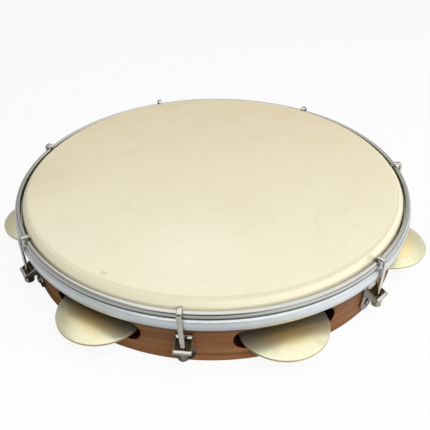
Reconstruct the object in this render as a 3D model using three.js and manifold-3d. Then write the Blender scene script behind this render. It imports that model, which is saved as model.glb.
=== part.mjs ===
// A pandeiro: a wooden frame drum with seven pairs of brass jingles in its shell and a skin
// head drawn down over the shell by two metal hoops, seven claw hooks and their nuts.
//
// Lengths are millimetres. Heights are measured up from the shell's bottom edge while the
// pieces are built, and the finished drum is lowered so that the origin is the centre of the
// playing face, with +Z up out of the head. Each lug and each jingle set is modelled once, on
// the +X side of the drum, and turned round the drum's axis to its own place.

import * as THREE from 'three';
import { mergeVertices } from 'three/addons/utils/BufferGeometryUtils.js';
import Module from 'manifold-3d';

const wasm = await Module();
wasm.setup();

// Where each of the seven jingle sets and seven lugs stands round the drum, in degrees
const jingleAngles = [-71.7, -20.9, 31, 82.4, 133.8, 185.2, 237.6];
const hookAngles = [-97.2, -45, 5, 53.5, 110, 159.5, 211.2];

// How finely round things are faceted
const ringFacets = 84;
const jingleFacets = 32;
const damperFacets = 20;
const smallFacets = 8;
const slotEndSteps = 3;
const arcSteps = 3;

// Gap left between pieces that bear on each other on the real drum
const seatGap = 0.3;

// Shell
const shellOuterRadius = 127;
const shellWall = 11;
const shellHeight = 42.5;
const bearingEdgeInset = 2.8;
const bearingRoundDepth = 6;
const bearingCrownWidth = 1.4;
const innerBevelDepth = 4;
const shellBottomChamfer = 0.8;

// Jingle slots through the shell
const slotFloor = 9.6;
const slotHeight = 12.8;
const slotLength = 60;

// Pins that carry the jingles
const pinRadius = 1.5;
const pinInset = 6.7;
const pinAnchorDepth = 7;
const pinRecess = 0.6;
const pinChamfer = 0.4;

// Jingles and the damper disc between them
const jingleRadius = 26;
const jingleRise = 4;
const jingleThickness = 0.6;
const jinglePlay = 0.9;
const jingleRingShare = 0.55;
const damperRadius = 19;
const damperThickness = 0.4;

// Head
const skinThickness = 0.5;

// Flesh hoop, which grips the edge of the skin in a groove
const fleshHoopDrop = 6.6;
const fleshHoopWidth = 4.9;
const fleshHoopHeight = 7.7;
const fleshHoopChamfer = 1.2;
const grooveDepth = 2.4;

// Counterhoop, which the hooks pull down on the flesh hoop
const counterhoopInset = 1;
const counterhoopWidth = 3.3;
const counterhoopHeight = 4.6;
const counterhoopChamfer = 0.9;

// Claw hooks
const hookWidth = 3;
const hookThickness = 1.6;
const hookTipThickness = 1;
const hookTipReach = 1;
const hookBendRadius = 1.1;
const rodRadius = 1.5;
const rodOverlap = 1.6;
const rodEndBelowNut = 0.9;

// Brackets that the hooks pull against
const bracketWidth = 10;
const bracketThickness = 1.2;
const bracketTop = 22;
const shelfReachPastRod = 3.6;
const shelfThickness = 1.4;
const shelfTop = 17.3;
const flangeTop = 18.6;
const flangeThickness = 1.6;
const cheekThickness = 1.1;
const cheekTopReach = 2.6;
const lipReach = 2.8;
const lipThickness = 1;
const earHeight = 8.6;
const earRadius = 6;
const earArcStart = 150;
const shoulderHeight = 14.6;

// Tuning nuts
const nutAcrossFlats = 5.5;
const nutHeight = 5.4;
const hookFootGap = 0.7;

// Screws that hold the brackets
const screwShankRadius = 1.1;
const screwHeadRadius = 2.6;
const screwHeadHeight = 1.2;
const screwHeadCrownShare = 0.45;
const screwLength = 10;
const screwPointLength = 1.5;

// Sizes that follow from the ones above
const shellInnerRadius = shellOuterRadius - shellWall;
const crownRadius = shellOuterRadius - bearingEdgeInset;
const bearingRoundFoot = shellHeight - bearingRoundDepth;
const skinUnderside = shellHeight + seatGap;
const playingFace = skinUnderside + skinThickness;
const skirtInnerRadius = shellOuterRadius + seatGap;
const skirtOuterRadius = skirtInnerRadius + skinThickness;

const fleshHoopInnerRadius = skirtOuterRadius + seatGap;
const fleshHoopOuterRadius = fleshHoopInnerRadius + fleshHoopWidth;
const fleshHoopTop = playingFace - fleshHoopDrop;
const fleshHoopBottom = fleshHoopTop - fleshHoopHeight;
const grooveHeight = skinThickness + 2 * seatGap;
const grooveFloor = (fleshHoopTop + fleshHoopBottom - grooveHeight) / 2;
const tuckFloor = grooveFloor + seatGap;
const tuckRadius = fleshHoopInnerRadius + grooveDepth - seatGap;

const counterhoopOuterRadius = fleshHoopOuterRadius - counterhoopInset;
const counterhoopInnerRadius = counterhoopOuterRadius - counterhoopWidth;
const counterhoopBottom = fleshHoopTop + seatGap;
const counterhoopTop = counterhoopBottom + counterhoopHeight;

const slotCeiling = slotFloor + slotHeight;
const pinCircleRadius = shellOuterRadius - pinInset;
const pinHoleRadius = pinRadius + seatGap;
const pinTop = slotCeiling + pinAnchorDepth;
const jingleHoleRadius = pinRadius + jinglePlay;
const lowerJingleFoot = slotFloor + seatGap;
const lowerJingleRim = lowerJingleFoot + jingleRise;
const upperJingleRim = lowerJingleRim + jingleThickness + seatGap;
const damperFloor = lowerJingleRim + jingleThickness - jingleSag(damperRadius) + seatGap;

const shankInnerRadius = fleshHoopOuterRadius + seatGap;
const shankOuterRadius = shankInnerRadius + hookThickness;
const rodCircleRadius = (shankInnerRadius + shankOuterRadius) / 2;
const hookFoot = shelfTop + hookFootGap;
const shelfBottom = shelfTop - shelfThickness;
const nutTop = shelfBottom - seatGap;
const nutBottom = nutTop - nutHeight;
const rodEnd = nutBottom - rodEndBelowNut;
const rodHoleRadius = rodRadius + seatGap;
const screwHoleRadius = screwShankRadius + seatGap;
const bracketFaceRadius = shellOuterRadius + seatGap;
const screwSeatRadius = bracketFaceRadius + bracketThickness + seatGap;
const shelfReach = rodCircleRadius + shelfReachPastRod - bracketFaceRadius;

// How far a jingle's surface at this radius lies from the plane of its rim
function jingleSag(radius) {
  return jingleRise * (1 - (radius / jingleRadius) ** 2);
}

// Points on a quarter or part of an ellipse, from one angle to another in degrees
function arcPoints(centreX, centreY, radiusX, radiusY, fromAngle, toAngle) {
  const points = [];
  for (let step = 0; step <= arcSteps; step += 1) {
    const angle = THREE.MathUtils.degToRad(fromAngle + ((toAngle - fromAngle) * step) / arcSteps);
    points.push([centreX + radiusX * Math.cos(angle), centreY + radiusY * Math.sin(angle)]);
  }
  return points;
}

// A solid of revolution round Z from [radius, height] points that run anticlockwise
function revolve(points, facets) {
  const profile = points.map(([radius, height]) => new THREE.Vector2(radius, height));
  return new THREE.LatheGeometry(profile, facets).rotateX(Math.PI / 2);
}

// The same for a profile that closes on itself, such as a hoop's section
function revolveRing(points, facets) {
  return revolve([...points, points[0]], facets);
}

function shapeOf(points) {
  return new THREE.Shape(points.map(([x, y]) => new THREE.Vector2(x, y)));
}

// Extrudes a [radial, height] outline to a plate that is centred on the radial plane
function extrudeAcross(points, width) {
  const plate = new THREE.ExtrudeGeometry(shapeOf(points), { depth: width, bevelEnabled: false });
  return plate.rotateX(Math.PI / 2).translate(0, width / 2, 0);
}

// Extrudes a shape drawn as [sideways, height] outwards along +X
function extrudeOutwards(shape, depth, curveSegments) {
  const options = { depth, bevelEnabled: false, curveSegments };
  const turn = new THREE.Matrix4().set(0, 0, 1, 0, 1, 0, 0, 0, 0, 1, 0, 0, 0, 0, 0, 1);
  return new THREE.ExtrudeGeometry(shape, options).applyMatrix4(turn);
}

// A round bar along Z between two heights
function uprightBar(radius, bottom, top) {
  const bar = new THREE.CylinderGeometry(radius, radius, top - bottom, smallFacets);
  return bar.rotateX(Math.PI / 2).translate(0, 0, (bottom + top) / 2);
}

// A round bar along X between two distances from the drum's axis
function radialBar(radius, near, far) {
  const bar = new THREE.CylinderGeometry(radius, radius, far - near, smallFacets);
  return bar.rotateZ(Math.PI / 2).translate((near + far) / 2, 0, 0);
}

function solidOf(geometry) {
  const bare = geometry.clone();
  bare.deleteAttribute('normal');
  bare.deleteAttribute('uv');
  const merged = mergeVertices(bare);
  return new wasm.Manifold(new wasm.Mesh({
    numProp: 3,
    vertProperties: merged.attributes.position.array,
    triVerts: new Uint32Array(merged.index.array),
  }));
}

function geometryOf(solid) {
  const mesh = solid.getMesh();
  const geometry = new THREE.BufferGeometry();
  geometry.setAttribute('position', new THREE.BufferAttribute(mesh.vertProperties, 3));
  geometry.setIndex(new THREE.BufferAttribute(mesh.triVerts, 1));
  return geometry;
}

function joined(geometries) {
  return geometries.map(solidOf).reduce((sum, solid) => sum.add(solid));
}

function turned(geometry, angle) {
  return geometry.clone().rotateZ(THREE.MathUtils.degToRad(angle));
}

function shellGeometry() {
  const crownInnerRadius = crownRadius - bearingCrownWidth;
  const ring = revolveRing([
    [shellInnerRadius, 0],
    [shellOuterRadius - shellBottomChamfer, 0],
    [shellOuterRadius, shellBottomChamfer],
    ...arcPoints(crownRadius, bearingRoundFoot, bearingEdgeInset, bearingRoundDepth, 0, 90),
    [crownInnerRadius, shellHeight],
    [shellInnerRadius, shellHeight - innerBevelDepth],
  ], ringFacets);
  let solid = solidOf(ring);

  // The slots are as long as drawn at the shell's face and have fully rounded ends.
  const endRadius = slotHeight / 2;
  const slotMiddle = slotFloor + endRadius;
  const slotStraight = slotLength / 2 - endRadius;
  const slotShape = new THREE.Shape();
  slotShape.absarc(-slotStraight, slotMiddle, endRadius, Math.PI / 2, (3 * Math.PI) / 2, false);
  slotShape.absarc(slotStraight, slotMiddle, endRadius, -Math.PI / 2, Math.PI / 2, false);
  const slot = extrudeOutwards(slotShape, 2 * shellWall, slotEndSteps);
  slot.translate(shellInnerRadius - shellWall, 0, 0);

  const pinHole = uprightBar(pinHoleRadius, -seatGap, pinTop + seatGap);
  pinHole.translate(pinCircleRadius, 0, 0);
  for (const angle of jingleAngles) {
    solid = solid.subtract(solidOf(turned(slot, angle)));
    solid = solid.subtract(solidOf(turned(pinHole, angle)));
  }

  const screwHoleFloor = screwSeatRadius - screwLength - seatGap;
  const screwHole = radialBar(screwHoleRadius, screwHoleFloor, shellOuterRadius + seatGap);
  screwHole.translate(0, 0, earHeight);
  for (const angle of hookAngles) {
    solid = solid.subtract(solidOf(turned(screwHole, angle)));
  }
  return geometryOf(solid);
}

function headGeometry() {
  const inner = seatGap;
  const outer = seatGap + skinThickness;
  return revolve([
    [0, skinUnderside],
    ...arcPoints(
      crownRadius,
      bearingRoundFoot,
      bearingEdgeInset + inner,
      bearingRoundDepth + inner,
      90,
      0,
    ),
    [skirtInnerRadius, tuckFloor],
    [tuckRadius, tuckFloor],
    [tuckRadius, tuckFloor + skinThickness],
    [skirtOuterRadius, tuckFloor + skinThickness],
    ...arcPoints(
      crownRadius,
      bearingRoundFoot,
      bearingEdgeInset + outer,
      bearingRoundDepth + outer,
      0,
      90,
    ),
    [0, playingFace],
  ], ringFacets);
}

function fleshHoopGeometry() {
  return revolveRing([
    [fleshHoopInnerRadius, fleshHoopBottom],
    [fleshHoopOuterRadius - fleshHoopChamfer, fleshHoopBottom],
    [fleshHoopOuterRadius, fleshHoopBottom + fleshHoopChamfer],
    [fleshHoopOuterRadius, fleshHoopTop - fleshHoopChamfer],
    [fleshHoopOuterRadius - fleshHoopChamfer, fleshHoopTop],
    [fleshHoopInnerRadius, fleshHoopTop],
    [fleshHoopInnerRadius, grooveFloor + grooveHeight],
    [fleshHoopInnerRadius + grooveDepth, grooveFloor + grooveHeight],
    [fleshHoopInnerRadius + grooveDepth, grooveFloor],
    [fleshHoopInnerRadius, grooveFloor],
  ], ringFacets);
}

function counterhoopGeometry() {
  return revolveRing([
    [counterhoopInnerRadius, counterhoopBottom],
    [counterhoopOuterRadius - counterhoopChamfer, counterhoopBottom],
    [counterhoopOuterRadius, counterhoopBottom + counterhoopChamfer],
    [counterhoopOuterRadius, counterhoopTop - counterhoopChamfer],
    [counterhoopOuterRadius - counterhoopChamfer, counterhoopTop],
    [counterhoopInnerRadius + counterhoopChamfer, counterhoopTop],
    [counterhoopInnerRadius, counterhoopTop - counterhoopChamfer],
  ], ringFacets);
}

// A shallow dished disc with its rim plane at height zero, opening downwards
function jingleGeometry() {
  const radii = [
    jingleHoleRadius,
    jingleRingShare * jingleRadius,
    jingleRadius,
  ];
  const under = radii.map((radius) => [radius, jingleSag(radius)]);
  const over = radii.map((radius) => [radius, jingleSag(radius) + jingleThickness]).reverse();
  return revolveRing([...under, ...over], jingleFacets);
}

function damperGeometry() {
  return revolveRing([
    [jingleHoleRadius, 0],
    [damperRadius, 0],
    [damperRadius, damperThickness],
    [jingleHoleRadius, damperThickness],
  ], damperFacets);
}

function pinGeometry() {
  return revolve([
    [0, pinRecess],
    [pinRadius - pinChamfer, pinRecess],
    [pinRadius, pinRecess + pinChamfer],
    [pinRadius, pinTop - pinChamfer],
    [pinRadius - pinChamfer, pinTop],
    [0, pinTop],
  ], smallFacets);
}

// A flat bar bent over the counterhoop, with a round rod running down through the bracket
function hookGeometry() {
  const archInner = counterhoopTop + seatGap;
  const bendHeight = archInner - hookBendRadius;
  const outerBend = hookBendRadius + hookThickness;
  const tipOuterFace = counterhoopInnerRadius - seatGap;
  const tipInnerFace = tipOuterFace - hookTipThickness;
  const tipEnd = counterhoopTop - hookTipReach;
  const bar = extrudeAcross([
    [shankInnerRadius, hookFoot],
    [shankOuterRadius, hookFoot],
    ...arcPoints(shankInnerRadius - hookBendRadius, bendHeight, outerBend, outerBend, 0, 90),
    ...arcPoints(
      tipOuterFace + hookBendRadius,
      bendHeight,
      hookBendRadius + hookTipThickness,
      outerBend,
      90,
      180,
    ),
    [tipInnerFace, tipEnd],
    [tipOuterFace, tipEnd],
    ...arcPoints(
      tipOuterFace + hookBendRadius,
      bendHeight,
      hookBendRadius,
      hookBendRadius,
      180,
      90,
    ),
    ...arcPoints(
      shankInnerRadius - hookBendRadius,
      bendHeight,
      hookBendRadius,
      hookBendRadius,
      90,
      0,
    ),
  ], hookWidth);
  const rod = uprightBar(rodRadius, rodEnd, hookFoot + rodOverlap);
  rod.translate(rodCircleRadius, 0, 0);
  return geometryOf(joined([bar, rod]));
}

// A bent plate on the shell's face: a shelf with a front flange and two cheeks, a lip over
// them, and a round screw ear under it that is a little wider than the rest
function bracketGeometry() {
  const halfWidth = bracketWidth / 2;
  const plateShape = new THREE.Shape();
  plateShape.moveTo(halfWidth, bracketTop);
  plateShape.lineTo(-halfWidth, bracketTop);
  plateShape.lineTo(-halfWidth, shoulderHeight);
  const arcStart = THREE.MathUtils.degToRad(earArcStart);
  plateShape.absarc(0, earHeight, earRadius, arcStart, 3 * Math.PI - arcStart, false);
  plateShape.lineTo(halfWidth, shoulderHeight);
  const plate = extrudeOutwards(plateShape, bracketThickness, smallFacets);
  const shelf = extrudeAcross([
    [0, shelfBottom],
    [shelfReach, shelfBottom],
    [shelfReach, shelfTop],
    [0, shelfTop],
  ], bracketWidth);
  const flange = extrudeAcross([
    [shelfReach - flangeThickness, shelfBottom],
    [shelfReach, shelfBottom],
    [shelfReach, flangeTop],
    [shelfReach - flangeThickness, flangeTop],
  ], bracketWidth);
  const lip = extrudeAcross([
    [0, bracketTop - lipThickness],
    [lipReach, bracketTop - lipThickness],
    [lipReach, bracketTop],
    [0, bracketTop],
  ], bracketWidth);
  const cheek = extrudeAcross([
    [0, shelfBottom],
    [shelfReach, shelfBottom],
    [shelfReach, flangeTop],
    [cheekTopReach, bracketTop],
    [0, bracketTop],
  ], cheekThickness);
  const cheekOffset = (bracketWidth - cheekThickness) / 2;
  const body = joined([
    plate,
    shelf,
    flange,
    lip,
    cheek.clone().translate(0, cheekOffset, 0),
    cheek.clone().translate(0, -cheekOffset, 0),
  ]);
  const rodHole = uprightBar(rodHoleRadius, shelfBottom - seatGap, shelfTop + seatGap);
  rodHole.translate(rodCircleRadius - bracketFaceRadius, 0, 0);
  const screwHole = radialBar(screwHoleRadius, -seatGap, bracketThickness + seatGap);
  screwHole.translate(0, 0, earHeight);
  return geometryOf(body.subtract(solidOf(rodHole)).subtract(solidOf(screwHole)));
}

function nutGeometry() {
  const cornerRadius = nutAcrossFlats / Math.sqrt(3);
  const corners = Array.from({ length: 6 }, (unused, index) => {
    const angle = (index * Math.PI) / 3;
    return [cornerRadius * Math.cos(angle), cornerRadius * Math.sin(angle)];
  });
  const shape = shapeOf(corners);
  const hole = new THREE.Path();
  hole.absarc(0, 0, rodHoleRadius, 0, 2 * Math.PI, true);
  shape.holes.push(hole);
  return new THREE.ExtrudeGeometry(shape, {
    depth: nutHeight,
    bevelEnabled: false,
    curveSegments: smallFacets / 2,
  });
}

// A round-headed screw that points inwards, with the underside of its head at zero
function screwGeometry() {
  const crown = screwHeadCrownShare * screwHeadRadius;
  const screw = revolve([
    [0, -screwLength],
    [screwShankRadius, screwPointLength - screwLength],
    [screwShankRadius, 0],
    [screwHeadRadius, 0],
    [crown, screwHeadHeight],
    [0, screwHeadHeight],
  ], smallFacets);
  return screw.rotateY(Math.PI / 2);
}

function finish(name, color, roughness, metalness) {
  return () => new THREE.MeshStandardMaterial({ name, color, roughness, metalness });
}

const varnishedWood = finish('varnished_wood', 0x80573a, 0.45, 0);
const calfSkin = finish('skin', 0xf2e8cc, 0.6, 0);
const satinAluminium = finish('satin_aluminium', 0xc3c9c8, 0.38, 1);
const polishedSteel = finish('polished_steel', 0xb9bbb6, 0.15, 1);
const nickelPlate = finish('nickel_plate', 0xa8a79c, 0.25, 1);
const paleBrass = finish('pale_brass', 0xd9d09a, 0.2, 1);
const tinPlate = finish('tin_plate', 0xb0ada2, 0.4, 1);
const brightPin = finish('pin_steel', 0x9c9c98, 0.35, 1);

function piece(parent, name, geometry, material, x = 0, z = 0) {
  const mesh = new THREE.Mesh(geometry, material());
  mesh.name = name;
  mesh.position.set(x, 0, z);
  parent.add(mesh);
  return mesh;
}

function turnedGroup(parent, name, angle) {
  const group = new THREE.Group();
  group.name = name;
  group.rotation.z = THREE.MathUtils.degToRad(angle);
  parent.add(group);
  return group;
}

const pandeiro = new THREE.Group();
pandeiro.name = 'pandeiro';
pandeiro.position.z = -playingFace;

piece(pandeiro, 'shell', shellGeometry(), varnishedWood);
piece(pandeiro, 'head', headGeometry(), calfSkin);
piece(pandeiro, 'flesh_hoop', fleshHoopGeometry(), satinAluminium);
piece(pandeiro, 'counterhoop', counterhoopGeometry(), polishedSteel);

const pin = pinGeometry();
const upperJingle = jingleGeometry();
const lowerJingle = jingleGeometry().rotateX(Math.PI);
const damper = damperGeometry();
jingleAngles.forEach((angle, index) => {
  const set = turnedGroup(pandeiro, `jingle_place_${index + 1}`, angle);
  const lowerRimTop = lowerJingleRim + jingleThickness;
  piece(set, `jingle_pin_${index + 1}`, pin, brightPin, pinCircleRadius);
  piece(set, `jingle_lower_${index + 1}`, lowerJingle, paleBrass, pinCircleRadius, lowerRimTop);
  piece(set, `damper_disc_${index + 1}`, damper, tinPlate, pinCircleRadius, damperFloor);
  piece(set, `jingle_upper_${index + 1}`, upperJingle, paleBrass, pinCircleRadius, upperJingleRim);
});

const hook = hookGeometry();
const bracket = bracketGeometry();
const nut = nutGeometry();
const screw = screwGeometry();
hookAngles.forEach((angle, index) => {
  const lug = turnedGroup(pandeiro, `lug_${index + 1}`, angle);
  piece(lug, `claw_hook_${index + 1}`, hook, nickelPlate);
  piece(lug, `hook_bracket_${index + 1}`, bracket, nickelPlate, bracketFaceRadius);
  piece(lug, `tuning_nut_${index + 1}`, nut, nickelPlate, rodCircleRadius, nutBottom);
  piece(lug, `bracket_screw_${index + 1}`, screw, nickelPlate, screwSeatRadius, earHeight);
});

export default pandeiro;
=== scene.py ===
"""The looks of the pandeiro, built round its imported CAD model.

Shapes are given in millimetres, with heights measured up from the shell's bottom edge, as in
the CAD source. They are turned into metres, and lowered so that the head's playing face is at
height zero, where they become pieces. Each lug and each jingle set is modelled once on the +X
side of the drum and turned round the drum's axis to its own place. Materials, floor, lamps and
camera are written in metres, in the part's own frame.
"""

import math

import bmesh
import bpy
from mathutils import Matrix, Vector

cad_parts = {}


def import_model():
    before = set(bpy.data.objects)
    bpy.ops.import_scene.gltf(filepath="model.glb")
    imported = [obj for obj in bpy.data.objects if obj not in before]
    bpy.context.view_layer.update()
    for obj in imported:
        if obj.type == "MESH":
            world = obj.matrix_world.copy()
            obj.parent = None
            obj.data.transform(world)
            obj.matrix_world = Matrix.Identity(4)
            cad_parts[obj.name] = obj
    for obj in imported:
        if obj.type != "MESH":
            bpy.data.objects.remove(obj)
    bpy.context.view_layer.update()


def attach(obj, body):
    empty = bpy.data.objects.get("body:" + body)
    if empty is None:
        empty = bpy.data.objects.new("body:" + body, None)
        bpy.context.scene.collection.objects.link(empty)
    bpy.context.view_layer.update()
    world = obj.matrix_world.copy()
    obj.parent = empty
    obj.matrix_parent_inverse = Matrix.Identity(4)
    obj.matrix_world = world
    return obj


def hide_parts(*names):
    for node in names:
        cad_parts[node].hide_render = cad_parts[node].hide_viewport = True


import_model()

# Where things stand, in degrees round the drum, and how far each hook's claw leans sideways
JINGLE_ANGLES = [-71.7, -20.9, 31, 82.4, 133.8, 185.2, 237.6]
HOOK_ANGLES = [-97.2, -45, 5, 53.5, 110, 159.5, 211.2]
HOOK_LEANS = [-1.1, 0.5, 0.0, 0.0, 0.0, 0.0, 0.3]

# Shell, with the height at which its face starts to round over into the bearing edge
SHELL_OUTER = 127.0
SHELL_INNER = 116.0
SHELL_HEIGHT = 42.5
SHOULDER = 37.4
INNER_BEVEL = 4
SLOT_FLOOR = 9.6
SLOT_HEIGHT = 12.8
SLOT_LENGTH = 60.0

# Head: the playing face, the skirt round the shell and the edge tucked into the flesh hoop
FACE = 43.3
SKIN_THICKNESS = 0.5
CREASE_START = 121.8
SKIRT_INNER, SKIRT_OUTER = 127.3, 127.8
TUCK_BOTTOM, TUCK_TOP, TUCK_RADIUS = 32.6, 33.1, 130.2

# Hoops
FLESH_INNER, FLESH_OUTER, FLESH_BOTTOM, FLESH_TOP = 128.1, 133.0, 29.0, 36.7
GROOVE_BOTTOM, GROOVE_TOP, GROOVE_DEPTH = 32.3, 33.4, 2.4
COUNTER_INNER, COUNTER_OUTER, COUNTER_BOTTOM, COUNTER_TOP = 128.7, 132.0, 36.9, 41.2

# Jingle sets
PIN_CIRCLE = 120.3
PIN_RADIUS, PIN_BOTTOM, PIN_TOP = 1.5, 0.6, 29.4
PIN_HOLE_RADIUS, PIN_HOLE_TOP = 1.8, 29.7
JINGLE_RADIUS = 26.0
JINGLE_RISE = 4.0
JINGLE_THICKNESS = 0.6
JINGLE_HOLE = 2.4
LOWER_RIM_TOP = 14.5
UPPER_RIM = 14.8
DAMPER_RADIUS, DAMPER_THICKNESS, DAMPER_FLOOR = 19, 0.4, 12.86

# Lugs: the hook's rod and bar, the circle of its claw, the nut, the bracket and the ear's screw
ROD_CIRCLE = 134.1
ROD_RADIUS = 1.5
ROD_HOLE_RADIUS = 1.8
THREAD_PITCH, THREAD_DEPTH = 0.5, 0.24
THREAD_BOTTOM, THREAD_TOP = 9.6, 17.2
BAR_HALF_WIDTH, BAR_HALF_DEPTH = 1.5, 0.8
BAR_BOTTOM, BAR_TOP = 18.3, 40.8
BEND_RADIUS = 1.9
CLAW_CIRCLE, CLAW_HOLLOW = 129.5, 1.1
CLAW_TIP_CIRCLE = 127.9
NUT_HALF_FLAT, NUT_HEIGHT, NUT_BOTTOM = 2.75, 5.4, 10.2
BRACKET_FACE = 127.3
BRACKET_REACH = 10.4
BRACKET_THICKNESS = 1.2
PLATE_HALF_WIDTH, PLATE_TOP = 5.0, 22.0
SHELF_BOTTOM, SHELF_TOP = 15.9, 17.3
LIP_BOTTOM = 20.9
EAR_HEIGHT, EAR_RADIUS = 8.6, 6.0
SCREW_SEAT = 128.8
SCREW_HOLE_RADIUS, SCREW_HOLE_END = 1.4, 118.5

# How far a cutter runs past what it cuts, and how finely round things are faceted
OVERRUN = 1.0
ROUND_STEPS = 252
SMALL_STEPS = 32

# Metres in a millimetre
MM = 0.001


def srgb(red, green, blue):
    """An 8-bit screen colour as linear RGBA."""
    def linear(value):
        value /= 255
        return value / 12.92 if value <= 0.04045 else ((value + 0.055) / 1.055) ** 2.4
    return (linear(red), linear(green), linear(blue), 1.0)


# Shapes

def turns(steps):
    """Evenly spaced angles round a circle, in radians."""
    return [2 * math.pi * step / steps for step in range(steps)]


def circle(radius, steps):
    return [(radius * math.cos(turn), radius * math.sin(turn)) for turn in turns(steps)]


def rounded(corners, steps=5):
    """A closed outline from (x, y, fillet radius) corners."""
    points = []
    count = len(corners)
    for index, (x, y, radius) in enumerate(corners):
        here = Vector((x, y))
        if radius <= 0:
            points.append((x, y))
            continue
        before = (Vector(corners[index - 1][:2]) - here).normalized()
        after = (Vector(corners[(index + 1) % count][:2]) - here).normalized()
        half = before.angle(after) / 2
        reach = radius / math.tan(half)
        centre = here + (before + after).normalized() * (radius / math.sin(half))
        start = here + before * reach - centre
        end = here + after * reach - centre
        sweep = start.angle_signed(end)
        for step in range(steps + 1):
            turn = -sweep * step / steps
            spun = Vector((
                start.x * math.cos(turn) - start.y * math.sin(turn),
                start.x * math.sin(turn) + start.y * math.cos(turn),
            ))
            points.append(tuple(centre + spun))
    return points


def lathe(bm, profile, steps=ROUND_STEPS, closed=True):
    """Adds a surface of revolution round Z from (radius, height) points."""
    rings = []
    for radius, height in profile:
        if radius == 0:
            rings.append([bm.verts.new((0, 0, height))])
        else:
            rings.append([bm.verts.new((x, y, height)) for x, y in circle(radius, steps)])
    stitch(bm, rings, closed)


def stitch(bm, rings, closed):
    """Joins rings of vertices with faces; a ring of one vertex is a pole."""
    pairs = list(zip(rings, rings[1:]))
    if closed:
        pairs.append((rings[-1], rings[0]))
    for low, high in pairs:
        count = max(len(low), len(high))
        if count == 1:
            continue
        for step in range(count):
            after = (step + 1) % count
            if len(low) == 1:
                bm.faces.new((low[0], high[after], high[step]))
            elif len(high) == 1:
                bm.faces.new((low[step], low[after], high[0]))
            else:
                bm.faces.new((low[step], low[after], high[after], high[step]))


def loft(bm, sections):
    """Adds a closed solid through sections, each a list of points, with flat ends."""
    rings = [[bm.verts.new(point) for point in section] for section in sections]
    stitch(bm, rings, closed=False)
    bm.faces.new(list(reversed(rings[0])))
    bm.faces.new(rings[-1])


def slab(name, outline, near, far, to_point, bevel, sharp_over=40):
    """A plate between two depths, with its edges sharper than a limit in degrees bevelled."""
    bm = bmesh.new()
    loft(bm, [[to_point(x, y, depth) for x, y in outline] for depth in (near, far)])
    bmesh.ops.recalc_face_normals(bm, faces=bm.faces)
    sharp = [edge for edge in bm.edges if edge.calc_face_angle(0) > math.radians(sharp_over)]
    bmesh.ops.bevel(bm, geom=sharp, offset=bevel, segments=2, profile=0.5, affect="EDGES")
    return mesh_of(bm, name)


def across(x, y, depth):
    """A point of a [radial, height] outline at a depth across the drum's radius."""
    return (x, depth, y)


def outwards(x, y, depth):
    """A point of a [sideways, height] outline at a depth along the radius."""
    return (depth, x, y)


def mesh_of(bm, name):
    """The finished mesh, with its faces turned outwards."""
    bmesh.ops.recalc_face_normals(bm, faces=bm.faces)
    mesh = bpy.data.meshes.new(name)
    bm.to_mesh(mesh)
    bm.free()
    return mesh


def loose_object(mesh):
    obj = bpy.data.objects.new(mesh.name, mesh)
    bpy.context.scene.collection.objects.link(obj)
    return obj


def carved(mesh, steps):
    """The mesh after booleans with other meshes: (operation, mesh) in order."""
    target = loose_object(mesh)
    tools = []
    for operation, other in steps:
        tool = loose_object(other)
        modifier = target.modifiers.new(operation, "BOOLEAN")
        modifier.operation = operation
        modifier.solver = "EXACT"
        modifier.object = tool
        tools.append(tool)
    depsgraph = bpy.context.evaluated_depsgraph_get()
    depsgraph.update()
    result = bpy.data.meshes.new_from_object(target.evaluated_get(depsgraph))
    result.name = mesh.name
    for obj in [target, *tools]:
        bpy.data.objects.remove(obj)
    return result


def smoothed(mesh, limit=32):
    """Smooth shading, with edges over the limit in degrees kept sharp."""
    bm = bmesh.new()
    bm.from_mesh(mesh)
    bmesh.ops.remove_doubles(bm, verts=bm.verts, dist=1e-4)
    for face in bm.faces:
        face.smooth = True
    for edge in bm.edges:
        edge.smooth = len(edge.link_faces) == 2 and edge.calc_face_angle(0) < math.radians(limit)
    bm.to_mesh(mesh)
    bm.free()
    return mesh


def turned_mesh(name, profile, limit=32, steps=ROUND_STEPS, closed=True):
    """A smooth-shaded mesh turned on a lathe."""
    bm = bmesh.new()
    lathe(bm, profile, steps, closed)
    return smoothed(mesh_of(bm, name), limit)


def place(name, mesh, materials, body, node, turn=0.0, shift=(0, 0, 0)):
    """A finished piece, in metres in the part's own frame, riding on its body."""
    own = mesh.copy()
    own.name = name
    own.transform(Matrix.Translation(shift))
    own.transform(Matrix.Rotation(math.radians(turn), 4, "Z"))
    own.transform(Matrix.Translation((0, 0, -FACE)))
    own.transform(Matrix.Scale(MM, 4))
    finishes = [0] * len(own.polygons)
    own.polygons.foreach_get("material_index", finishes)
    own.materials.clear()
    for material in materials:
        own.materials.append(material)
    own.polygons.foreach_set("material_index", finishes)
    obj = loose_object(own)
    obj.name = name
    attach(obj, body)
    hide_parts(node)
    return obj


# Materials

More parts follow.
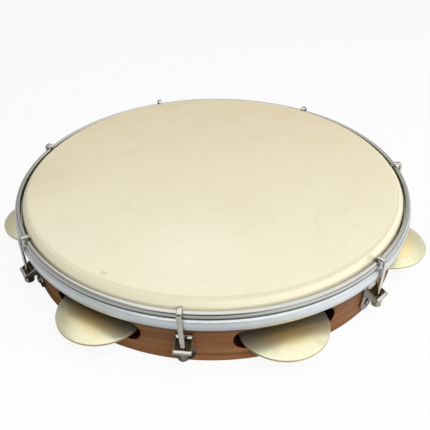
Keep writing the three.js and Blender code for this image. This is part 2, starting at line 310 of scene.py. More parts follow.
class Nodes:
    """A node tree under construction, with short names for the nodes it uses."""

    def __init__(self, tree, coordinates="Object"):
        self.tree = tree
        tree.nodes.clear()
        self.at = self.node("ShaderNodeTexCoord").outputs[coordinates]

    def node(self, kind, settings=None, inputs=None):
        """A new node, each of whose inputs is linked to a socket or set to a value."""
        node = self.tree.nodes.new(kind)
        for key, value in (settings or {}).items():
            setattr(node, key, value)
        for key, value in (inputs or {}).items():
            if isinstance(value, bpy.types.NodeSocket):
                self.tree.links.new(value, node.inputs[key])
            else:
                node.inputs[key].default_value = value
        return node

    def math(self, operation, first, second=0.0, third=0.0):
        return self.node(
            "ShaderNodeMath", {"operation": operation}, {0: first, 1: second, 2: third},
        ).outputs[0]

    def plus(self, first, second):
        return self.math("ADD", first, second)

    def times(self, first, second):
        return self.math("MULTIPLY", first, second)

    def without(self, share):
        """What is left of one when a share is taken away."""
        return self.math("SUBTRACT", 1.0, share)

    def spread(self, value, low, high, to_low=0.0, to_high=1.0, smooth=True):
        """Maps low..high to to_low..to_high, and stays inside them."""
        kind = "SMOOTHSTEP" if smooth else "LINEAR"
        return self.node("ShaderNodeMapRange", {"interpolation_type": kind}, {
            "Value": value, "From Min": low, "From Max": high,
            "To Min": to_low, "To Max": to_high,
        }).outputs["Result"]

    def vector(self, operation, *inputs, output=0):
        return self.node(
            "ShaderNodeVectorMath", {"operation": operation}, dict(enumerate(inputs)),
        ).outputs[output]

    def parts(self):
        split = self.node("ShaderNodeSeparateXYZ", None, {"Vector": self.at})
        return split.outputs["X"], split.outputs["Y"], split.outputs["Z"]

    def blend(self, share, first, second):
        """A mix of two shaders."""
        return self.node(
            "ShaderNodeMixShader", None, {0: share, 1: first, 2: second},
        ).outputs[0]


class Paint(Nodes):
    """A material under construction."""

    def __init__(self, name):
        self.material = bpy.data.materials.new(name)
        self.material.use_nodes = True
        super().__init__(self.material.node_tree)

    def stretched(self, scale):
        """The place scaled along each axis, for grain and brushing."""
        return self.vector("MULTIPLY", self.at, scale)

    def noise(self, scale, detail=4.0, roughness=0.55, distortion=0.0, at=None):
        return self.node("ShaderNodeTexNoise", None, {
            "Vector": at or self.at, "Scale": scale, "Detail": detail,
            "Roughness": roughness, "Distortion": distortion,
        }).outputs["Fac"]

    def mix(self, factor, first, second):
        """A mix of two colours."""
        return self.node(
            "ShaderNodeMix", {"data_type": "RGBA"}, {0: factor, 6: first, 7: second},
        ).outputs[2]

    def from_axis(self):
        """Distance from the drum's axis."""
        x, y, _ = self.parts()
        return self.math("SQRT", self.plus(self.times(x, x), self.times(y, y)))

    def from_point(self, x, y):
        """Distance from a point of the playing face."""
        return self.vector("DISTANCE", self.at, (x, y, 0.0), output="Value")

    def blemish(self, x, y, radius, depth):
        """Its depth at a point of the playing face, fading to nothing near the radius."""
        ragged = self.times(self.noise(260, 3), radius * 0.9)
        reach = self.plus(self.from_point(x, y), ragged)
        return self.times(self.spread(reach, radius * 0.35, radius * 1.3, 1.0, 0.0), depth)

    def bump(self, height, distance, strength, under=None):
        """A bumped normal, on top of another one if there is one under it."""
        inputs = {"Height": height, "Distance": distance, "Strength": strength}
        if under is not None:
            inputs["Normal"] = under
        return self.node("ShaderNodeBump", None, inputs).outputs["Normal"]

    def output(self, shader):
        self.node("ShaderNodeOutputMaterial", None, {0: shader})
        return self.material

    def finish(self, **inputs):
        """The material with a principled shader, whose inputs are named with underscores."""
        named = {key.replace("_", " "): value for key, value in inputs.items()}
        return self.output(self.node("ShaderNodeBsdfPrincipled", None, named).outputs[0])


def skin_material():
    """Animal skin with faint clouds, pores and a few marks, paler towards the front as painted
    light, with painted shade and a painted sheen.
    """
    near, far, pale = srgb(245, 239, 211), srgb(239, 224, 189), srgb(243, 236, 211)
    vein, pore, mark = srgb(214, 190, 158), srgb(205, 186, 150), srgb(176, 164, 128)
    painted_left_shade, painted_front_sheen = srgb(226, 211, 178), srgb(251, 247, 224)
    crease_shade, tuck_shade = srgb(228, 221, 193), srgb(112, 92, 54)

    paint = Paint("cream_skin")
    _, y, _ = paint.parts()
    clouds = paint.noise(9, 3, 0.5, 0.4)
    mottle = paint.noise(38, 5, 0.6, 0.6)
    pores = paint.noise(1500, 3, 0.6)
    veins = paint.noise(24, 6, 0.62, 2.2)
    # Painted light: the skin is paler towards the front and darker towards the back
    back = paint.plus(y, paint.times(clouds, 0.06))
    colour = paint.mix(paint.spread(back, -0.08, 0.14), near, far)
    colour = paint.mix(paint.spread(mottle, 0.35, 0.7, 0.0, 0.35), colour, pale)
    colour = paint.mix(paint.spread(veins, 0.52, 0.62, 0.0, 0.07), colour, vein)
    # Painted shade darkens the left of the playing face
    colour = paint.mix(paint.blemish(-0.125, 0.0, 0.06, 0.5), colour, painted_left_shade)
    # A painted sheen lightens the front of the playing face
    colour = paint.mix(paint.blemish(-0.01, -0.085, 0.055, 0.6), colour, painted_front_sheen)
    colour = paint.mix(paint.spread(pores, 0.3, 0.6, 0.08, 0.0), colour, pore)

    # The crease ring is painted shade on the sloping collar. It is a little off centre, so it shows
    # most in front
    ring = paint.from_point(0.0, 0.0033)
    colour = paint.mix(paint.spread(ring, 0.1238, 0.1246, 0.0, 0.8), colour, crease_shade)
    # Painted shade where the skin runs down into the gap under the hoop
    edge = paint.spread(paint.from_axis(), 0.1273, 0.1278, 0.0, 0.85)
    colour = paint.mix(edge, colour, tuck_shade)
    for x, y, radius, depth in (
        (-0.0601, -0.1016, 0.0034, 0.45), (0.045, 0.030, 0.004, 0.10),
        (-0.02, 0.06, 0.006, 0.08),
    ):
        colour = paint.mix(paint.blemish(x, y, radius, depth), colour, mark)
    rough = paint.spread(mottle, 0.3, 0.7, 0.50, 0.62)
    normal = paint.bump(pores, 0.00006, 0.5)
    normal = paint.bump(mottle, 0.0006, 0.3, normal)
    return paint.finish(
        Base_Color=colour, Roughness=rough, Normal=normal, Specular_IOR_Level=0.4,
    )


def wood_material(name, light, dark, streak, coat):
    """Veneer whose grain runs round the shell, darker along its bottom edge as painted shade."""
    paint = Paint(name)
    x, y, z = paint.parts()
    layers = paint.plus(paint.times(z, 230.0), paint.times(paint.from_axis(), 160.0))
    flow = paint.node("ShaderNodeCombineXYZ", None, {
        "X": paint.times(x, 7.0), "Y": paint.times(y, 7.0), "Z": layers,
    }).outputs[0]
    broad = paint.noise(0.45, 3, 0.5, 0.3, flow)
    grain = paint.noise(1.1, 6, 0.62, 0.5, flow)
    fine = paint.noise(3.6, 4, 0.7, 0.2, flow)
    pores = paint.noise(1.0, 2, 0.5, 0.0, paint.stretched((42.0, 42.0, 900.0)))
    colour = paint.mix(paint.spread(broad, 0.3, 0.7), dark, light)
    colour = paint.mix(paint.spread(grain, 0.38, 0.66, 0.0, 0.55), colour, streak)
    colour = paint.mix(paint.spread(fine, 0.45, 0.75, 0.0, 0.25), colour, light)
    colour = paint.mix(paint.spread(pores, 0.64, 0.74, 0.0, 0.6), colour, streak)
    # Painted shade darkens the veneer along the shell's bottom edge
    foot = paint.plus(z, paint.times(fine, 0.0006))
    colour = paint.mix(paint.spread(foot, -0.0431, -0.0418, 0.8, 0.0), colour, streak)
    rough = paint.spread(paint.noise(60, 4, 0.6), 0.3, 0.7, 0.34, 0.5)
    height = paint.math("SUBTRACT", grain, paint.spread(pores, 0.62, 0.74))
    normal = paint.bump(height, 0.00012, 0.5)
    return paint.finish(
        Base_Color=colour, Roughness=rough, Normal=normal, Specular_IOR_Level=0.18,
        Coat_Weight=coat, Coat_Roughness=0.2,
    )


def metal_material(name, base, tarnish, rough, brush, stain, bump=0.00002, metallic=1.0):
    """Plated or bare metal: fine brushing, faint scratches and patches of tarnish."""
    paint = Paint(name)
    brushed = paint.noise(1.0, 3, 0.6, 0.0, paint.stretched(brush))
    scratch = paint.noise(1.0, 2, 0.5, 0.0, paint.stretched((130, 1900, 1900)))
    patches = paint.noise(130, 5, 0.65, 0.8)
    specks = paint.noise(900, 3, 0.7)
    colour = paint.mix(paint.spread(patches, 0.45, 0.75, 0.0, stain), base, tarnish)
    colour = paint.mix(paint.spread(specks, 0.62, 0.78, 0.0, stain), colour, tarnish)
    worn = paint.plus(paint.times(brushed, 0.5), paint.times(patches, 0.5))
    height = paint.plus(brushed, paint.spread(scratch, 0.66, 0.72, 0.0, -1.5))
    return paint.finish(
        Base_Color=colour, Metallic=metallic, Roughness=paint.spread(worn, 0.35, 0.65, *rough),
        Normal=paint.bump(height, bump, 0.6),
    )


def brass_material():
    """Pale jingle brass: more golden towards the crown as painted reflection of the brown shell,
    with shallow dents and fingermarks.
    """
    clean, marked, painted_shell_reflection = srgb(230, 226, 196), srgb(216, 204, 148), srgb(247, 219, 138)
    paint = Paint("pale_jingle_brass")
    dents = paint.noise(60, 2, 0.5, 0.3)
    marks = paint.noise(110, 4, 0.6, 1.0)
    fine = paint.noise(900, 3, 0.6)
    colour = paint.mix(paint.spread(marks, 0.4, 0.72, 0.0, 0.4), clean, marked)
    # Painted reflection: a golden tint towards the crown stands in for the brown shell mirrored
    # there
    _, _, height = paint.parts()
    crown = paint.plus(height, paint.times(marks, 0.0007))
    crown = paint.spread(crown, -0.0264, -0.0241, 0.0, 0.7, smooth=False)
    colour = paint.mix(crown, colour, painted_shell_reflection)
    rough = paint.spread(marks, 0.3, 0.7, 0.31, 0.37)
    normal = paint.bump(fine, 0.000004, 0.4)
    normal = paint.bump(dents, 0.0011, 0.4, normal)
    return paint.finish(Base_Color=colour, Metallic=0.86, Roughness=rough, Normal=normal)


SKIN = skin_material()
WOOD = wood_material(
    "varnished_shell_wood", srgb(150, 104, 66), srgb(124, 82, 49), srgb(86, 49, 27), coat=0.05,
)
# Dark red stain in the slots and holes, made darker still as painted shade
SLOT_STAIN_AND_SHADE = wood_material(
    "slot_wood_stain_and_shade", srgb(52, 11, 7), srgb(38, 7, 4), srgb(24, 4, 3), coat=0.02,
)
SATIN = metal_material(
    "satin_aluminium_band", srgb(222, 227, 230), srgb(200, 206, 210),
    rough=(0.34, 0.42), brush=(70, 70, 1600), stain=0.2,
)
POLISHED = metal_material(
    "polished_steel_band", srgb(194, 194, 189), srgb(150, 147, 138),
    rough=(0.14, 0.22), brush=(90, 90, 1500), stain=0.15, bump=0.00001,
)
NICKEL = metal_material(
    "nickel_plate_warm", srgb(203, 201, 194), srgb(140, 134, 122),
    rough=(0.12, 0.20), brush=(500, 500, 60), stain=0.3, bump=0.000008,
)
# Dark, dull plate that paints shade into the brackets' pockets and onto the cheeks' upper edges
POCKET_SHADE = metal_material(
    "pocket_shade_plate", srgb(96, 84, 58), srgb(58, 49, 34),
    rough=(0.40, 0.52), brush=(500, 500, 60), stain=0.5, bump=0.000008, metallic=0.35,
)
FASTENER = metal_material(
    "nickel_plate_fastener", srgb(170, 166, 154), srgb(104, 97, 82),
    rough=(0.14, 0.26), brush=(700, 700, 150), stain=0.35, bump=0.000008,
)
STEEL = metal_material(
    "plain_pin_steel", srgb(150, 150, 146), srgb(100, 95, 88),
    rough=(0.3, 0.5), brush=(1500, 1500, 90), stain=0.35,
)
TIN = metal_material(
    "tinned_sheet", srgb(170, 166, 154), srgb(122, 116, 100),
    rough=(0.35, 0.55), brush=(400, 400, 400), stain=0.35,
)
BRASS = brass_material()


# Shell

def slot_cutter():
    """A jingle slot's space, with its mouths eased, as it lies on the +X side."""
    end = SLOT_HEIGHT / 2
    middle = SLOT_FLOOR + end
    straight = SLOT_LENGTH / 2 - end
    end_steps, flat_steps = 10, 24
    corners = [math.pi / 2 * (1 - step / end_steps) for step in range(end_steps + 1)]
    flat = [-straight + 2 * straight * step / flat_steps for step in range(flat_steps + 1)]

    # How much wider the slot is at each distance from the drum's axis
    eased = [
        (SHELL_INNER - 2.0, 2.2), (SHELL_INNER, 0.5), (SHELL_INNER + 0.15, 0.2),
        (SHELL_INNER + 0.5, 0.0), (SHELL_OUTER - 0.5, 0.0), (SHELL_OUTER - 0.15, 0.2),
        (SHELL_OUTER, 0.5), (SHELL_OUTER + 2.0, 2.2),
    ]
    bm = bmesh.new()
    rings = []
    for radius, ease in eased:
        wide = end + ease
        corner = [(straight + wide * math.cos(turn), wide * math.sin(turn)) for turn in corners[1:]]
        upper = [(-y, z) for y, z in reversed(corner)] + [(y, wide) for y in flat] + corner
        lower = [(y, -z) for y, z in reversed(upper[1:-1])]
        rings.append([
            bm.verts.new((math.sqrt(radius ** 2 - y ** 2), y, middle + z))
            for y, z in upper + lower
        ])
    stitch(bm, rings, closed=False)

    # Each end is bent round the drum, so it is closed with strips that run straight up
    last = len(rings[0]) // 2 - 1
    for ring in (rings[0], rings[-1]):
        bm.faces.new([ring[0], ring[1], ring[-1]])
        for step in range(1, last):
            bm.faces.new([ring[step], ring[step + 1], ring[-step - 1], ring[-step]])
        bm.faces.new([ring[last], ring[last + 1], ring[-last]])
    return mesh_of(bm, "slot")


def cylinder_mesh(name, radius, low, high, to_point):
    """A round cutter between two depths."""
    bm = bmesh.new()
    loft(bm, [[to_point(x, y, depth) for x, y in circle(radius, 24)] for depth in (low, high)])
    return mesh_of(bm, name)


def turned_copies(mesh, angles, name):
    """Copies of a mesh round the drum's axis, as one mesh."""
    bm = bmesh.new()
    for angle in angles:
        one = mesh.copy()
        one.transform(Matrix.Rotation(math.radians(angle), 4, "Z"))
        bm.from_mesh(one)
        bpy.data.meshes.remove(one)
    return mesh_of(bm, name)


def shell_mesh():
    """The ring with its bearing edge, jingle slots, pin holes and screw holes."""
    bm = bmesh.new()
    lathe(bm, rounded([
        (SHELL_INNER, 0, 0.6), (SHELL_OUTER, 0, 0.8), (SHELL_OUTER, SHOULDER, 0.6),
        (126.4, 40.1, 0.8), (123.9, 42.36, 0.5), (121.6, SHELL_HEIGHT, 0),
        (SHELL_INNER, SHELL_HEIGHT - INNER_BEVEL, 0),
    ]))
    ring = mesh_of(bm, "shell_ring")
    pin_hole = cylinder_mesh(
        "pin_hole", PIN_HOLE_RADIUS, -OVERRUN, PIN_HOLE_TOP,
        lambda x, y, depth: (PIN_CIRCLE + x, y, depth),
    )
    screw_hole = cylinder_mesh(
        "screw_hole", SCREW_HOLE_RADIUS, SCREW_HOLE_END, SHELL_OUTER + 2 * OVERRUN,
        lambda x, y, depth: outwards(x, EAR_HEIGHT + y, depth),
    )
    cuts = [
        turned_copies(slot_cutter(), JINGLE_ANGLES, "slots"),
        turned_copies(pin_hole, JINGLE_ANGLES, "pin_holes"),
        turned_copies(screw_hole, HOOK_ANGLES, "screw_holes"),
    ]
    for mesh in (ring, *cuts):
        mesh.materials.append(WOOD)
        mesh.materials.append(SLOT_STAIN_AND_SHADE)
    # The cut faces take the slot wood, its dark red stain deepened as painted shade
    for mesh in cuts:
        mesh.polygons.foreach_set("material_index", [1] * len(mesh.polygons))
    return smoothed(carved(ring, [("DIFFERENCE", cut) for cut in cuts]))


place("wooden_shell", shell_mesh(), [WOOD, SLOT_STAIN_AND_SHADE], "drum", "shell")


# Head and hoops

def skin_profile():
    """The skin's two faces: flat, creased over the bearing edge, then down to the groove."""
    under = [
        (0, FACE - SKIN_THICKNESS), (CREASE_START, FACE - SKIN_THICKNESS), (122.3, 42.77),
        (123.85, 42.66), (124.05, 42.6), (126.35, 40.6), (126.52, 40.4), (126.64, 40.15),
        (127.2, 38.3), (127.27, 37.9), (SKIRT_INNER, SHOULDER), (SKIRT_INNER, 33.55),
        (127.4, 32.95), (127.7, 32.65), (128.3, TUCK_BOTTOM), (TUCK_RADIUS, TUCK_BOTTOM),
    ]
    over = [
        (TUCK_RADIUS, TUCK_TOP), (128.4, TUCK_TOP), (127.95, 33.25), (SKIRT_OUTER, 33.75),
        (SKIRT_OUTER, SHOULDER), (127.78, 37.9), (127.7, 38.35), (127.12, 40.29),
        (127.0, 40.57), (126.86, 40.8), (126.68, 40.98), (124.45, 43.0), (124.32, 43.09),
        (124.16, 43.14), (123.98, 43.16), (122.4, 43.27), (122.1, 43.29),
        (CREASE_START, FACE), (110, FACE), (60, FACE), (0, FACE),
    ]
    return under, over


under, over = skin_profile()
skin = place(
    "stretched_skin", turned_mesh("skin", under + over, limit=40, closed=False), [SKIN],
    "drum", "head",
)

flesh_hoop = turned_mesh("flesh_hoop", rounded([
    (FLESH_INNER, FLESH_BOTTOM, 0.4), (FLESH_OUTER - 0.4, FLESH_BOTTOM, 1.7),
    (FLESH_OUTER, (FLESH_BOTTOM + FLESH_TOP) / 2, 9.0), (FLESH_OUTER - 0.1, FLESH_TOP - 0.95, 0.7),
    (FLESH_OUTER - 1.4, FLESH_TOP, 0.6), (FLESH_INNER, FLESH_TOP, 0.6),
    (FLESH_INNER, GROOVE_TOP, 0), (FLESH_INNER + GROOVE_DEPTH, GROOVE_TOP, 0),
    (FLESH_INNER + GROOVE_DEPTH, GROOVE_BOTTOM, 0), (FLESH_INNER, GROOVE_BOTTOM, 0),
], steps=12))
place("satin_flesh_hoop", flesh_hoop, [SATIN], "drum", "flesh_hoop")

counterhoop = turned_mesh("counterhoop", rounded([
    (COUNTER_INNER, COUNTER_BOTTOM, 1.0), (COUNTER_OUTER, COUNTER_BOTTOM, 2.0),
    (COUNTER_OUTER, COUNTER_TOP, 2.05), (COUNTER_INNER, COUNTER_TOP, 0.95),
], steps=12))
place("polished_counterhoop", counterhoop, [POLISHED], "drum", "counterhoop")


# Jingle sets

def dome(radius):
    """The height of a jingle's hollow side over its rim."""
    return JINGLE_RISE * (1 - (radius / JINGLE_RADIUS) ** 2)


def jingle_mesh():
    """A dished disc opening downwards, its rim plane at height zero."""
    steps = 22
    rim, ease = 0.35, 0.07
    width = JINGLE_RADIUS - rim - JINGLE_HOLE
    radii = [JINGLE_HOLE + width * step / steps for step in range(steps + 1)]
    under = [(radius, dome(radius)) for radius in radii]
    over = [(radius, dome(radius) + JINGLE_THICKNESS) for radius in reversed(radii)]
    edge = [
        (JINGLE_RADIUS - ease, 0.0), (JINGLE_RADIUS, ease),
        (JINGLE_RADIUS, JINGLE_THICKNESS - ease), (JINGLE_RADIUS - ease, JINGLE_THICKNESS),
    ]
    return turned_mesh("jingle", under + edge + over, limit=30, steps=144)


def damper_mesh():
    """A flat disc, its underside at height zero."""
    return turned_mesh("damper", rounded([
        (JINGLE_HOLE, 0, 0.1), (DAMPER_RADIUS, 0, 0.15),
        (DAMPER_RADIUS, DAMPER_THICKNESS, 0.15), (JINGLE_HOLE, DAMPER_THICKNESS, 0.1),
    ], steps=3), limit=50, steps=96)


def pin_mesh():
    """A straight pin with chamfered ends."""
    return turned_mesh("pin", [
        (0, PIN_BOTTOM), (1.1, PIN_BOTTOM), (1.38, PIN_BOTTOM + 0.1),
        (PIN_RADIUS, PIN_BOTTOM + 0.4), (PIN_RADIUS, PIN_TOP - 0.4), (1.1, PIN_TOP), (0, PIN_TOP),
    ], limit=50, steps=SMALL_STEPS, closed=False)


upper = jingle_mesh()
lower = jingle_mesh()
lower.transform(Matrix.Rotation(math.pi, 4, "X"))
damper = damper_mesh()
pin = pin_mesh()
for number, angle in enumerate(JINGLE_ANGLES, 1):
    for name, mesh, material, body, node, slot, height in (
        ("set_pin", pin, STEEL, "drum", "jingle_pin", "pin_steel", 0),
        ("brass_lower", lower, BRASS, f"lower_jingle_{number}", "jingle_lower", "jingle_brass",
         LOWER_RIM_TOP),
        ("damping_disc", damper, TIN, f"lower_jingle_{number}", "damper_disc", "damper_tin",
         DAMPER_FLOOR),
        ("brass_upper", upper, BRASS, f"upper_jingle_{number}", "jingle_upper", "jingle_brass",
         UPPER_RIM),
    ):
        place(f"{name}_{number}", mesh, [material], body, f"{node}_{number}", angle,
              (PIN_CIRCLE, 0, height))


# Lugs

def hook_section(centre, along, half_width, half_depth, power, lean):
    """A ring round a point of the hook's centre line, in the drum's radial plane.

    The power makes it round at 2 and squarer above that.
    """
    normal = Vector((along[1], 0, -along[0]))
    ring = []
    for turn in turns(SMALL_STEPS):
        c, s = math.cos(turn), math.sin(turn)
        side = half_width * math.copysign(abs(c) ** (2 / power), c)
        deep = half_depth * math.copysign(abs(s) ** (2 / power), s)
        ring.append((
            centre[0] + normal.x * deep, side + lean, centre[1] + normal.z * deep,
        ))
    return ring


def thread_section(z):
    """A ring of the rod's thread, which winds round as it rises."""
    ring = []
    for turn in turns(SMALL_STEPS):
        phase = (z / THREAD_PITCH - turn / (2 * math.pi)) % 1
        radius = ROD_RADIUS - THREAD_DEPTH * abs(2 * phase - 1)
        ring.append((ROD_CIRCLE + radius * math.sin(turn), radius * math.cos(turn), z))
    return ring


def hook_mesh(lean):
    """A flat bar bent over the counterhoop, drawn down to a threaded rod."""
    rise, drop = (0, 1), (0, -1)
    round_rod, flat_bar = 2, 4.5
    steps, rings_each_pitch = 8, 6
    foot, foot_radius = THREAD_BOTTOM - 0.3, 1.05
    narrowing, thinning = 0.05, 0.3

    sections = [hook_section((ROD_CIRCLE, foot), rise, foot_radius, foot_radius, round_rod, 0)]
    length = THREAD_TOP - THREAD_BOTTOM
    count = int(length / THREAD_PITCH * rings_each_pitch)
    for ring in range(count + 1):
        sections.append(thread_section(THREAD_BOTTOM + length * ring / count))

    # The rod flattens into the bar, which leans sideways as it rises
    neck = THREAD_TOP + 0.2
    shares = [step / steps for step in range(1, steps + 1)]
    for share in [0.0, *shares]:
        z = neck + (BAR_BOTTOM - neck) * share
        depth = ROD_RADIUS + (BAR_HALF_DEPTH - ROD_RADIUS) * share
        power = round_rod + (flat_bar - round_rod) * share
        sections.append(hook_section(
            (ROD_CIRCLE, z), rise, BAR_HALF_WIDTH, depth, power, lean * 0.02,
        ))
    for share in shares:
        z = BAR_BOTTOM + (BAR_TOP - BAR_BOTTOM) * share
        sections.append(hook_section(
            (ROD_CIRCLE, z), rise, BAR_HALF_WIDTH, BAR_HALF_DEPTH, flat_bar, lean * share,
        ))

    # It bends inwards over the hoop, and its thinned end comes down inside it
    for share in shares:
        turn = math.pi / 2 * share
        c, s = math.cos(turn), math.sin(turn)
        centre = (ROD_CIRCLE - BEND_RADIUS + BEND_RADIUS * c, BAR_TOP + BEND_RADIUS * s)
        sections.append(hook_section(
            centre, (-s, c), BAR_HALF_WIDTH - narrowing * share, BAR_HALF_DEPTH, flat_bar, lean,
        ))
    for share in [0.0, *shares]:
        turn = math.pi / 2 * (1 + share)
        c, s = math.cos(turn), math.sin(turn)
        width = BAR_HALF_WIDTH - narrowing - thinning * share ** 2
        depth = BAR_HALF_DEPTH - thinning * share
        reach = CLAW_HOLLOW + depth
        centre = (CLAW_CIRCLE + reach * c, BAR_TOP + reach * s)
        sections.append(hook_section(centre, (-s, c), width, depth, flat_bar, lean))
    for z, width, depth, power in (
        (BAR_TOP - 0.1, 1.0, 0.42, 4), (BAR_TOP - 0.2, 0.7, 0.28, 3),
    ):
        sections.append(hook_section((CLAW_TIP_CIRCLE, z), drop, width, depth, power, lean))
    bm = bmesh.new()
    loft(bm, sections)
    return smoothed(mesh_of(bm, "hook"), limit=40)


def bracket_mesh():
    """A bent plate: shelf with a front flange, cheeks, lip and a round screw ear.

    Its back is at radius zero. The pieces share no plane, because a union can lose a piece
    that shares one with another.
    """
    front = BRACKET_REACH
    neck = 14.6
    ear = [
        (EAR_RADIUS * math.cos(turn), EAR_HEIGHT + EAR_RADIUS * math.sin(turn))
        for turn in [math.radians(150 + 240 * step / 24) for step in range(25)]
    ]
    plate = [
        (PLATE_HALF_WIDTH, PLATE_TOP), (-PLATE_HALF_WIDTH, PLATE_TOP), (-PLATE_HALF_WIDTH, neck),
        *ear, (PLATE_HALF_WIDTH, neck),
    ]
    cheek = rounded([
        (0.4, SHELF_BOTTOM + 0.03, 0), (front - 0.03, SHELF_BOTTOM + 0.03, 0.6),
        (front - 0.03, 17.7, 0.3), (front - 1.7, 18.4, 0.3), (2.7, 21.7, 0.6), (0.4, 21.7, 0),
    ], steps=4)
    shelf = rounded([
        (0.5, SHELF_BOTTOM, 0), (front - 0.06, SHELF_BOTTOM, 0.5),
        (front - 0.06, SHELF_TOP, 0), (0.5, SHELF_TOP, 0),
    ], steps=4)
    flange = rounded([
        (front - 1.6, 16.5, 0), (front, 16.5, 0), (front, 17.9, 0.3), (front - 1.6, 18.6, 0.3),
    ], steps=4)
    lip = rounded([
        (0.6, LIP_BOTTOM, 0), (2.8, 20.3, 0), (2.8, LIP_BOTTOM, 0.3), (1.4, PLATE_TOP, 0.4),
        (0.6, PLATE_TOP, 0),
    ], steps=4)
    shelf_side, lip_side = 4.9, 4.92
    cheek_inside, cheek_outside = 4.15, 4.96
    body, *others = [
        slab("bracket", outline, near, far, to_point, bevel)
        for outline, near, far, to_point, bevel in (
            (plate, 0, BRACKET_THICKNESS, outwards, 0.25),
            (shelf, -shelf_side, shelf_side, across, 0.2),
            (cheek, cheek_inside, cheek_outside, across, 0.2),
            (cheek, -cheek_outside, -cheek_inside, across, 0.2),
            (flange, -PLATE_HALF_WIDTH, PLATE_HALF_WIDTH, across, 0.2),
            (lip, -lip_side, lip_side, across, 0.12),
        )
    ]
    rod_at = ROD_CIRCLE - BRACKET_FACE
    holes = [
        cylinder_mesh("rod_hole", ROD_HOLE_RADIUS, 14.0, 19.0,
                      lambda x, y, depth: (rod_at + x, y, depth)),
        cylinder_mesh("ear_hole", SCREW_HOLE_RADIUS, -OVERRUN, 3 * OVERRUN,
                      lambda x, y, depth: outwards(x, EAR_HEIGHT + y, depth)),
    ]
    steps = [("UNION", piece) for piece in others] + [("DIFFERENCE", hole) for hole in holes]
    made = smoothed(carved(body, steps), limit=40)

    # The inside of the pocket and the cheeks' upper edges have the second finish, dark and dull as
    # painted shade
    wall, edge_bottom = 4.1, 17.6
    for face in made.polygons:
        x, y, z = face.center
        pocket = 1.0 < x < front - 1.5 and abs(y) < wall and SHELF_TOP - 0.1 < z < LIP_BOTTOM
        upper_edge = face.normal.z > 0.3 and abs(y) > wall and z > edge_bottom
        if pocket or (upper_edge and 2.0 < x < front - 1.6):
            face.material_index = 1
    return made


def nut_mesh():
    """A hexagon nut with chamfered corners, its underside at height zero."""
    steps = 72
    corners = [
        (2.55, 0.0), (2.85, 0.12), (3.05, 0.3), (3.14, 0.5),
        (3.14, NUT_HEIGHT - 0.5), (3.05, NUT_HEIGHT - 0.3), (2.85, NUT_HEIGHT - 0.12),
        (2.55, NUT_HEIGHT),
    ]
    bore = [(1.95, NUT_HEIGHT), (1.62, NUT_HEIGHT - 0.3), (1.62, 0.3), (1.95, 0.0)]

    bm = bmesh.new()
    rings = []
    for limit, z in corners:
        ring = []
        for turn in turns(steps):
            flat = NUT_HALF_FLAT / math.cos(turn % (math.pi / 3) - math.pi / 6)
            radius = min(flat, limit)
            ring.append(bm.verts.new((radius * math.cos(turn), radius * math.sin(turn), z)))
        rings.append(ring)
    for radius, z in bore:
        rings.append([bm.verts.new((x, y, z)) for x, y in circle(radius, steps)])
    stitch(bm, rings, closed=True)
    return smoothed(mesh_of(bm, "nut"), limit=25)


def screw_mesh():
    """A round-headed wood screw that points inwards, with a cross recess."""
    core, thread, pitch = 0.85, 1.1, 0.8
    thread_start, thread_end = -8.5, -1.2
    head, head_base, head_rise = 2.6, 0.3, 0.9
    profile = [(0, -10.0), (0.5, -9.2)]
    z = thread_start
    while z < thread_end:
        profile += [(core, z), (thread, z + 0.35)]
        z += pitch
    profile += [(thread, -0.6), (thread, 0.0), (2.45, 0.0), (head, 0.12), (2.55, 0.35)]
    profile += [
        (head * math.cos(turn), head_base + head_rise * math.sin(turn))
        for turn in [math.radians(angle) for angle in range(18, 90, 12)]
    ]
    profile.append((0, head_base + head_rise))
    bm = bmesh.new()
    lathe(bm, profile, steps=48, closed=False)
    body = mesh_of(bm, "screw")

    cuts = []
    corners = ((-1, -1), (1, -1), (1, 1), (-1, 1))
    narrow, long = 0.3, 1.35
    for wide, tall in ((narrow, long), (long, narrow)):
        bm = bmesh.new()
        loft(bm, [
            [(x * wide * size, y * tall * size, depth) for x, y in corners]
            for depth, size in ((0.25, 0.75), (1.6, 1.0))
        ])
        cuts.append(("DIFFERENCE", mesh_of(bm, "recess")))
    made = smoothed(carved(body, cuts), limit=35)
    driven_to = math.radians(25)
    made.transform(Matrix.Rotation(driven_to, 4, "Z"))
    made.transform(Matrix.Rotation(math.pi / 2, 4, "Y"))
    return made


bracket = bracket_mesh()
nut = nut_mesh()
screw = screw_mesh()
for number, (angle, lean) in enumerate(zip(HOOK_ANGLES, HOOK_LEANS), 1):
    for name, mesh, materials, body, node, slot, shift in (
        ("bent_hook", hook_mesh(lean), [NICKEL], f"hook_{number}", "claw_hook", "hook_plate",
         (0, 0, 0)),
        ("folded_bracket", bracket, [NICKEL, POCKET_SHADE], "drum", "hook_bracket", "bracket_plate",
         (BRACKET_FACE, 0, 0)),
        ("hex_nut", nut, [FASTENER], f"nut_{number}", "tuning_nut", "fastener_plate",
         (ROD_CIRCLE, 0, NUT_BOTTOM)),
        ("ear_screw", screw, [FASTENER], "drum", "bracket_screw", "fastener_plate",
         (SCREW_SEAT, 0, EAR_HEIGHT)),
    ):
        place(f"{name}_{number}", mesh, materials, body, f"{node}_{number}", angle, shift)


# Stage, light and camera

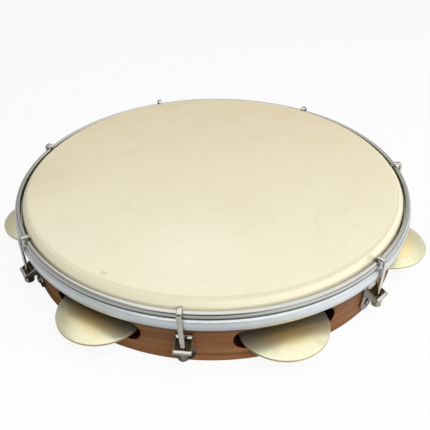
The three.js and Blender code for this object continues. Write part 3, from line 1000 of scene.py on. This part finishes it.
def floor():
    """A pale floor: white to the camera and in reflections, with the drum's soft shadow."""
    half, gap = 4.0, 0.00002
    level = -FACE * MM - gap
    corners = ((-1, -1), (1, -1), (1, 1), (-1, 1))
    bm = bmesh.new()
    bm.faces.new([bm.verts.new((x * half, y * half, level)) for x, y in corners])
    mesh = bpy.data.meshes.new("floor")
    bm.to_mesh(mesh)
    bm.free()

    # In reflections its glow carries painted shade at the left, a painted shadow close round the
    # drum and painted light at the right
    paint = Paint("pale_floor")
    path = paint.node("ShaderNodeLightPath").outputs
    x, _, _ = paint.parts()
    window = paint.spread(x, 0.0, 0.12, -0.32, 0.18)
    reach = paint.vector("LENGTH", paint.at, output="Value")
    shade = paint.spread(reach, 0.14, 0.162, -0.7, 0.0)
    strength = paint.math("MULTIPLY_ADD", paint.plus(window, shade), path["Is Glossy Ray"], 1.0)
    pale = (0.86, 0.86, 0.86, 1.0)
    glow = paint.node("ShaderNodeEmission", None, {"Strength": strength})
    diffuse = paint.node("ShaderNodeBsdfDiffuse", None, {"Color": pale})

    # What is left of the diffuse floor at these rays carries the shadow
    shown = paint.math("MAXIMUM", path["Is Camera Ray"], path["Is Glossy Ray"])
    shown = paint.math("MAXIMUM", shown, path["Is Transmission Ray"])
    glow_share = 0.9
    mesh.materials.append(paint.output(
        paint.blend(paint.times(shown, glow_share), diffuse.outputs[0], glow.outputs[0])
    ))
    loose_object(mesh)


def world():
    """A plain soft light, white to the camera, and a studio that only reflections show."""
    made = bpy.data.worlds.new("studio")
    made.use_nodes = True
    bpy.context.scene.world = made
    sky = Nodes(made.node_tree, "Generated")

    def background(colour, strength):
        return sky.node(
            "ShaderNodeBackground", None, {"Color": (*colour, 1.0), "Strength": strength},
        ).outputs[0]

    side, depth, height = sky.parts()
    room = sky.plus(
        sky.spread(side, 0.3, 0.95, 0.42, 1.25), sky.spread(height, 0.0, 0.3, 0.0, 0.05),
    )
    off_centre = sky.math("ABSOLUTE", sky.plus(side, 0.12))
    dark_front = sky.times(
        sky.spread(depth, -0.70, -0.50, 0.75, 0.0), sky.spread(off_centre, 0.26, 0.5, 1.0, 0.0),
    )
    dark_front = sky.times(dark_front, sky.spread(height, 0.08, 0.22, 0.0, 1.0))
    room = sky.times(room, sky.without(dark_front))
    dark_strip = sky.times(
        sky.spread(height, 0.04, 0.12, 0.0, 0.7), sky.spread(height, 0.36, 0.5, 1.0, 0.0),
    )
    dark_strip = sky.times(dark_strip, sky.spread(side, 0.6, 0.85, 0.0, 1.0))
    room = sky.times(room, sky.without(dark_strip))
    ceiling = sky.times(
        sky.spread(height, 0.42, 0.72, 0.0, 1.0), sky.spread(depth, -0.72, -0.58, 0.0, 1.42),
    )
    ceiling = sky.times(ceiling, sky.spread(side, -0.58, -0.42, 0.23, 1.0))

    white = (1.0, 1.0, 1.0)
    reflected = background((1.0, 0.995, 0.98), sky.math("MAXIMUM", room, ceiling))
    path = sky.node("ShaderNodeLightPath").outputs
    around = sky.blend(path["Is Glossy Ray"], background(white, 0.44), reflected)
    around = sky.blend(path["Is Camera Ray"], around, background(white, 1.0))
    sky.node("ShaderNodeOutputWorld", None, {0: around})


def lamp(name, location, aim, size, watts, colour):
    """A rectangular lamp that lights the drum and isn't seen in reflections."""
    data = bpy.data.lights.new(name, "AREA")
    data.shape = "RECTANGLE"
    data.size, data.size_y = size
    data.energy = watts
    data.color = colour
    obj = bpy.data.objects.new(name, data)
    obj.location = location
    obj.rotation_mode = "QUATERNION"
    obj.rotation_quaternion = (Vector(aim) - Vector(location)).to_track_quat("-Z", "Y")
    obj.visible_glossy = False
    bpy.context.scene.collection.objects.link(obj)


def camera():
    """The photograph's own view: from the front, 36.5 degrees up, with a slight roll.

    Its distance is measured from the middle of the shell's foot.
    """
    distance, rise, roll = 0.4066, math.radians(36.474), -0.0145
    back = Vector((0, -math.cos(rise), math.sin(rise)))
    right = Vector((1, 0, 0))
    up = Vector((0, math.sin(rise), math.cos(rise)))
    c, s = math.cos(roll), math.sin(roll)
    axes = Matrix((c * right + s * up, -s * right + c * up, back)).transposed()
    data = bpy.data.cameras.new("view")
    data.sensor_width = 36.0
    data.lens = 46.22
    data.shift_x, data.shift_y = 0.00429, 0.02137
    data.clip_start = 0.01
    foot = Vector((0, 0, -FACE * MM))
    obj = bpy.data.objects.new("view", data)
    obj.matrix_world = Matrix.Translation(back * distance + foot) @ axes.to_4x4()
    bpy.context.scene.collection.objects.link(obj)
    bpy.context.scene.camera = obj


floor()
world()
lamp(
    "key", location=(0.22, -0.50, 0.78), aim=(0, -0.03, 0), size=(0.7, 0.6),
    watts=5.6, colour=(1.0, 1.0, 1.0),
)
lamp(
    "side", location=(0.92, -0.36, 0.07), aim=(0.05, -0.05, -0.02), size=(0.6, 0.26),
    watts=4.3, colour=(1.0, 0.98, 0.95),
)
camera()
bpy.context.scene.view_settings.view_transform = "Standard"
